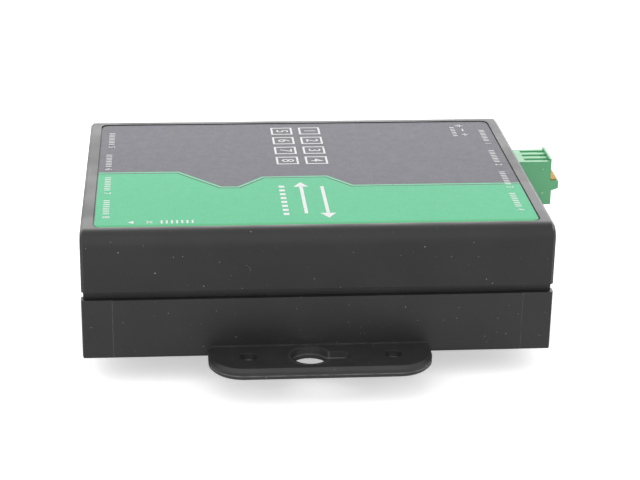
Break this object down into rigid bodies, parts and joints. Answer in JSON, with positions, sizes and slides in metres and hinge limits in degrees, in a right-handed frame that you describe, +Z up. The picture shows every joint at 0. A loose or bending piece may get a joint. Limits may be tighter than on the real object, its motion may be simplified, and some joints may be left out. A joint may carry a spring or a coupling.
{
  "type": "din rail ethernet switch",
  "caption": "Flat black network switch with a two-tone label, sockets at both ends, a green power plug, screw ears and a rail clip underneath.",
  "frame": {"origin": "middle of the clip's seat on the rail, under the middle of the casing", "axes": "+X along the casing towards the power plug, +Y from the front ear to the back ear, +Z up out of the labelled cover"},
  "size_m": [0.1377, 0.1208, 0.0415],
  "materials": {
    "case_plastic": "fine matt moulded black plastic",
    "label_film": "satin printed film in two fields of colour",
    "panel_plastic": "matt black plastic",
    "screw_steel": "zinc-plated steel",
    "circuit_board": "green solder mask",
    "chip_black": "matt black moulded package",
    "shield_metal": "bright tinned steel",
    "capacitor_can": "satin aluminium",
    "jack_plastic": "matt black plastic",
    "contact_gold": "gold-plated spring wire",
    "light_lens": "frosted clear plastic",
    "lamp_lens": "translucent green plastic",
    "terminal_green": "satin green plastic",
    "pin_tin": "tin-plated copper",
    "lever_orange": "satin orange plastic",
    "spring_steel": "bright spring steel",
    "clip_plastic": "matt black plastic",
    "latch_plastic": "matt black plastic"
  },
  "bodies": {
    "switch": {"base_tray": "case_plastic", "top_cover": "case_plastic", "label_film": "label_film", "port_panel_right": "panel_plastic", "port_panel_left": "panel_plastic", "case_screws": "screw_steel", "circuit_board": "circuit_board", "switch_chip": "chip_black", "regulator_chip": "chip_black", "magnetics_1": "chip_black", "magnetics_2": "chip_black", "magnetics_3": "chip_black", "magnetics_4": "chip_black", "crystal": "shield_metal", "power_inductor": "chip_black", "capacitors": "capacitor_can", "led_holder": "jack_plastic", "power_led": "lamp_lens", "jack_housing_1": "jack_plastic", "jack_shield_1": "shield_metal", "jack_contacts_1": "contact_gold", "jack_housing_2": "jack_plastic", "jack_shield_2": "shield_metal", "jack_contacts_2": "contact_gold", "jack_housing_3": "jack_plastic", "jack_shield_3": "shield_metal", "jack_contacts_3": "contact_gold", "jack_housing_4": "jack_plastic", "jack_shield_4": "shield_metal", "jack_contacts_4": "contact_gold", "jack_housing_5": "jack_plastic", "jack_shield_5": "shield_metal", "jack_contacts_5": "contact_gold", "jack_housing_6": "jack_plastic", "jack_shield_6": "shield_metal", "jack_contacts_6": "contact_gold", "jack_housing_7": "jack_plastic", "jack_shield_7": "shield_metal", "jack_contacts_7": "contact_gold", "jack_housing_8": "jack_plastic", "jack_shield_8": "shield_metal", "jack_contacts_8": "contact_gold", "link_lights": "light_lens", "power_header": "terminal_green", "header_pins": "pin_tin", "din_clip": "clip_plastic", "latch_spring": "spring_steel", "clip_screws": "screw_steel"},
    "plug": {"terminal_plug": "terminal_green", "plug_contacts": "pin_tin", "plug_clamps": "spring_steel"},
    "latch": {"din_latch": "latch_plastic"},
    "lever_1": {"plug_lever_1": "lever_orange"},
    "lever_2": {"plug_lever_2": "lever_orange"},
    "lever_3": {"plug_lever_3": "lever_orange"}
  },
  "joints": [
    {"name": "plug_pull", "type": "slide", "parent": "switch", "child": "plug", "axis": [1, 0, 0], "range_m": [0, 0.012]},
    {"name": "lever_1_press", "type": "slide", "parent": "plug", "child": "lever_1", "axis": [-1, 0, 0], "range_m": [0, 0.0011], "stiffness_N_per_m": 300, "springref_m": -0.0006},
    {"name": "lever_2_press", "type": "slide", "parent": "plug", "child": "lever_2", "axis": [-1, 0, 0], "range_m": [0, 0.0011], "stiffness_N_per_m": 300, "springref_m": -0.0006},
    {"name": "lever_3_press", "type": "slide", "parent": "plug", "child": "lever_3", "axis": [-1, 0, 0], "range_m": [0, 0.0011], "stiffness_N_per_m": 300, "springref_m": -0.0006},
    {"name": "latch_pull", "type": "slide", "parent": "switch", "child": "latch", "axis": [-1, 0, 0], "range_m": [0, 0.003], "stiffness_N_per_m": 500, "springref_m": -0.002, "deforming": ["latch_spring"]}
  ]
}
